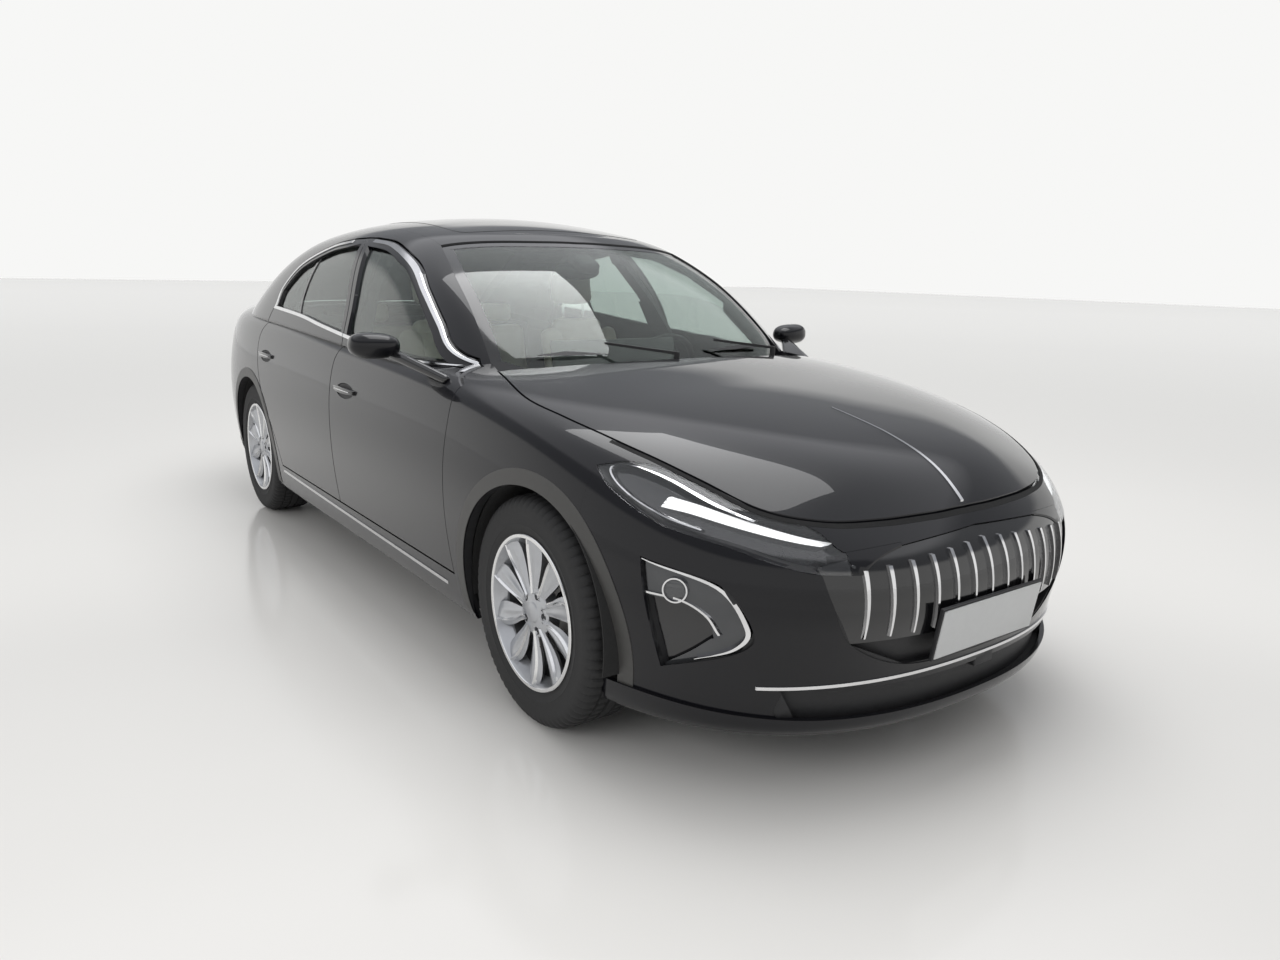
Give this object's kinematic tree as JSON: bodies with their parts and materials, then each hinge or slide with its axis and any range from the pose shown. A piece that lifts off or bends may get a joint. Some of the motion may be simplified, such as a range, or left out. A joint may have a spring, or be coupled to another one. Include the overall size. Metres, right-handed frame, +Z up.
{
  "type": "sedan car",
  "caption": "Four-door sedan with opening doors, hood and trunk lid, steered front wheels, a hollow cabin with seats, and a chrome-slatted grille.",
  "frame": {"origin": "on the ground below the middle of the car's length and width", "axes": "+X forward, +Y the car's left side, +Z up"},
  "size_m": [5.0036, 2.212, 1.5716],
  "materials": {
    "body_paint": "gloss",
    "black_plastic": "satin",
    "window_glass": "clear",
    "lamp_lens": "clear",
    "red_lens": "gloss",
    "tyre_rubber": "matte",
    "silver_rim": "satin",
    "seat_leather": "satin",
    "dark_trim": "matte",
    "cast_metal": "satin",
    "dark_steel": "satin"
  },
  "bodies": {
    "body": {"floor_pan": "black_plastic", "body_side_left": "body_paint", "body_side_right": "body_paint", "roof": "body_paint", "cowl": "black_plastic", "trunk_tub": "black_plastic", "fender_left": "body_paint", "fender_right": "body_paint", "front_bumper": "body_paint", "rear_bumper": "body_paint", "grille": "black_plastic", "front_lamps": "lamp_lens", "tail_lamps": "red_lens", "windows": "window_glass", "wipers": "black_plastic", "arch_liners": "black_plastic", "dashboard": "dark_trim", "front_seats": "seat_leather", "rear_bench": "seat_leather", "drive_unit": "cast_metal", "battery_pack": "black_plastic", "front_suspension": "dark_steel", "rear_suspension": "dark_steel"},
    "hood": {"hood": "body_paint"},
    "trunk_lid": {"trunk_lid": "body_paint"},
    "steering_wheel": {"steering_wheel": "dark_trim"},
    "front_door_left": {"front_door_left": "body_paint", "front_glass_left": "window_glass", "mirror_left": "body_paint"},
    "rear_door_left": {"rear_door_left": "body_paint", "rear_glass_left": "window_glass"},
    "knuckle_left": {"knuckle_left": "dark_steel"},
    "wheel_front_left": {"tyre_front_left": "tyre_rubber", "rim_front_left": "silver_rim"},
    "wheel_rear_left": {"tyre_rear_left": "tyre_rubber", "rim_rear_left": "silver_rim"},
    "front_door_right": {"front_door_right": "body_paint", "front_glass_right": "window_glass", "mirror_right": "body_paint"},
    "rear_door_right": {"rear_door_right": "body_paint", "rear_glass_right": "window_glass"},
    "knuckle_right": {"knuckle_right": "dark_steel"},
    "wheel_front_right": {"tyre_front_right": "tyre_rubber", "rim_front_right": "silver_rim"},
    "wheel_rear_right": {"tyre_rear_right": "tyre_rubber", "rim_rear_right": "silver_rim"}
  },
  "joints": [
    {"name": "steer_left", "type": "hinge", "parent": "body", "child": "knuckle_left", "pos_m": [1.58, 0.745, 0.352], "axis": [0, 0, 1], "range_deg": [-32, 32]},
    {"name": "steer_right", "type": "hinge", "parent": "body", "child": "knuckle_right", "pos_m": [1.58, -0.745, 0.352], "axis": [0, 0, 1], "range_deg": [-32, 32]},
    {"name": "steering_wheel_turn", "type": "hinge", "parent": "body", "child": "steering_wheel", "pos_m": [0.5, 0.37, 0.896], "axis": [-0.9272, 0, 0.3746], "range_deg": [-480, 480]},
    {"name": "spin_front_left", "type": "hinge", "parent": "knuckle_left", "child": "wheel_front_left", "pos_m": [1.58, 0.812, 0.352], "axis": [0, 1, 0], "continuous": true},
    {"name": "spin_rear_left", "type": "hinge", "parent": "body", "child": "wheel_rear_left", "pos_m": [-1.41, 0.812, 0.352], "axis": [0, 1, 0], "continuous": true},
    {"name": "open_front_door_left", "type": "hinge", "parent": "body", "child": "front_door_left", "pos_m": [1.105, 0.955, 0.6], "axis": [0, 0, -1], "range_deg": [0, 65]},
    {"name": "open_rear_door_left", "type": "hinge", "parent": "body", "child": "rear_door_left", "pos_m": [-0.033, 0.955, 0.6], "axis": [0, 0, -1], "range_deg": [0, 65]},
    {"name": "spin_front_right", "type": "hinge", "parent": "knuckle_right", "child": "wheel_front_right", "pos_m": [1.58, -0.812, 0.352], "axis": [0, 1, 0], "continuous": true},
    {"name": "spin_rear_right", "type": "hinge", "parent": "body", "child": "wheel_rear_right", "pos_m": [-1.41, -0.812, 0.352], "axis": [0, 1, 0], "continuous": true},
    {"name": "open_front_door_right", "type": "hinge", "parent": "body", "child": "front_door_right", "pos_m": [1.105, -0.955, 0.6], "axis": [0, 0, 1], "range_deg": [0, 65]},
    {"name": "open_rear_door_right", "type": "hinge", "parent": "body", "child": "rear_door_right", "pos_m": [-0.033, -0.955, 0.6], "axis": [0, 0, 1], "range_deg": [0, 65]},
    {"name": "open_hood", "type": "hinge", "parent": "body", "child": "hood", "pos_m": [1.02, 0, 0.985], "axis": [0, -1, 0], "range_deg": [0, 52]},
    {"name": "open_trunk_lid", "type": "hinge", "parent": "body", "child": "trunk_lid", "pos_m": [-1.985, 0, 1.1], "axis": [0, 1, 0], "range_deg": [0, 62]}
  ],
  "couplings": [
    {"joint": "steer_right", "follows": "steer_left", "ratio": 1},
    {"joint": "steering_wheel_turn", "follows": "steer_left", "ratio": 15}
  ]
}
